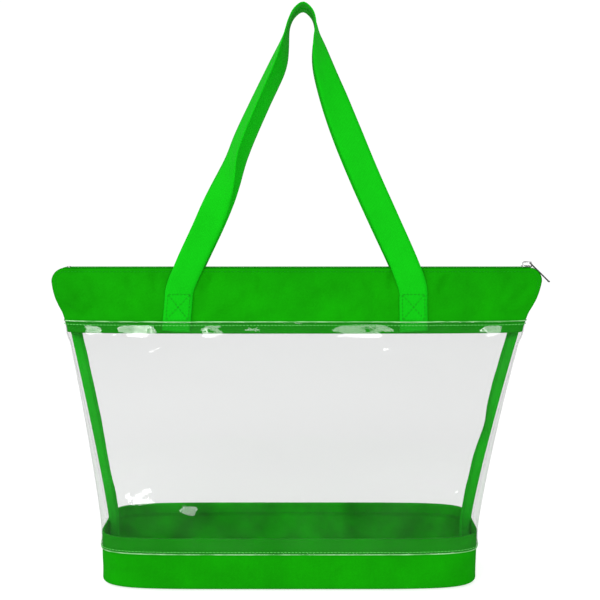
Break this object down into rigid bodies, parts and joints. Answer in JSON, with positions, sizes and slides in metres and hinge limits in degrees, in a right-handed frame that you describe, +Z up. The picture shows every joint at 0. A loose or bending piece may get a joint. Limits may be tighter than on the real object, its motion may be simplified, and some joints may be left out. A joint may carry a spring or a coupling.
{
  "type": "beach bag",
  "caption": "Clear-walled zip-top beach tote with a fabric base and mouth band, bound side seams, webbing handles, and a coil zip whose slider opens the mouth.",
  "frame": {"origin": "centre of the base underside, on the surface that the bag stands on", "axes": "+Z up, +X to the right seen from the front, the front wall faces -Y"},
  "size_m": [0.5182, 0.1236, 0.5924],
  "materials": {
    "green_cloth": "plain-woven polyester, matt with a slight sheen",
    "webbing": "ribbed polypropylene webbing, slight sheen",
    "seam_binding": "folded woven binding tape",
    "sewing_thread": "twisted polyester thread",
    "zip_tape_cloth": "close-woven zip tape",
    "zip_coil_nylon": "satin nylon coil",
    "clear_vinyl": "clear soft vinyl sheet, glossy with soft creases",
    "nickel_metal": "nickel plate, lightly brushed"
  },
  "bodies": {
    "bag_base": {"base_fabric": "green_cloth", "left_side_binding": "seam_binding", "right_side_binding": "seam_binding", "left_box_binding": "seam_binding", "right_box_binding": "seam_binding", "zip_bottom_stop": "nickel_metal"},
    "front_side": {"front_clear_panel": "clear_vinyl", "front_top_band": "green_cloth", "front_base_stitch": "sewing_thread", "front_band_stitch": "sewing_thread", "front_zip_tape": "zip_tape_cloth", "front_zip_coil": "zip_coil_nylon", "front_zip_stitch": "sewing_thread", "front_top_stop": "nickel_metal", "front_handle_end_left": "webbing", "front_handle_end_right": "webbing", "front_box_stitch_left": "sewing_thread", "front_box_stitch_right": "sewing_thread"},
    "back_side": {"back_clear_panel": "clear_vinyl", "back_top_band": "green_cloth", "back_base_stitch": "sewing_thread", "back_band_stitch": "sewing_thread", "back_zip_tape": "zip_tape_cloth", "back_zip_coil": "zip_coil_nylon", "back_zip_stitch": "sewing_thread", "back_top_stop": "nickel_metal", "back_handle_end_left": "webbing", "back_handle_end_right": "webbing", "back_box_stitch_left": "sewing_thread", "back_box_stitch_right": "sewing_thread"},
    "zip_slider": {"zip_slider": "nickel_metal"},
    "pull_tab": {"zip_pull_tab": "nickel_metal"},
    "front_handle": {"front_handle_loop": "webbing"},
    "back_handle": {"back_handle_loop": "webbing"}
  },
  "joints": [
    {"name": "zip_slide", "type": "slide", "parent": "bag_base", "child": "zip_slider", "axis": [-1, 0, 0], "range_m": [0, 0.465]},
    {"name": "pull_tab_swing", "type": "hinge", "parent": "zip_slider", "child": "pull_tab", "pos_m": [0.2515, 0, 0.331], "axis": [0, -1, 0], "range_deg": [0, 220]},
    {"name": "front_side_open", "type": "hinge", "parent": "bag_base", "child": "front_side", "pos_m": [0, -0.0606, 0.039], "axis": [1, 0, 0], "range_deg": [0, 14], "deforming": ["front_zip_tape", "front_zip_coil"]},
    {"name": "back_side_open", "type": "hinge", "parent": "bag_base", "child": "back_side", "pos_m": [0, 0.0606, 0.039], "axis": [-1, 0, 0], "range_deg": [0, 14], "deforming": ["back_zip_tape", "back_zip_coil"]},
    {"name": "front_handle_swing", "type": "hinge", "parent": "front_side", "child": "front_handle", "pos_m": [0, -0.01478, 0.30415], "axis": [1, 0, 0], "range_deg": [0, 160]},
    {"name": "back_handle_swing", "type": "hinge", "parent": "back_side", "child": "back_handle", "pos_m": [0, 0.01478, 0.30415], "axis": [-1, 0, 0], "range_deg": [0, 160]}
  ],
  "couplings": [
    {"joint": "front_side_open", "follows": "zip_slide", "rad_per_m": 0.525},
    {"joint": "back_side_open", "follows": "zip_slide", "rad_per_m": 0.525}
  ]
}
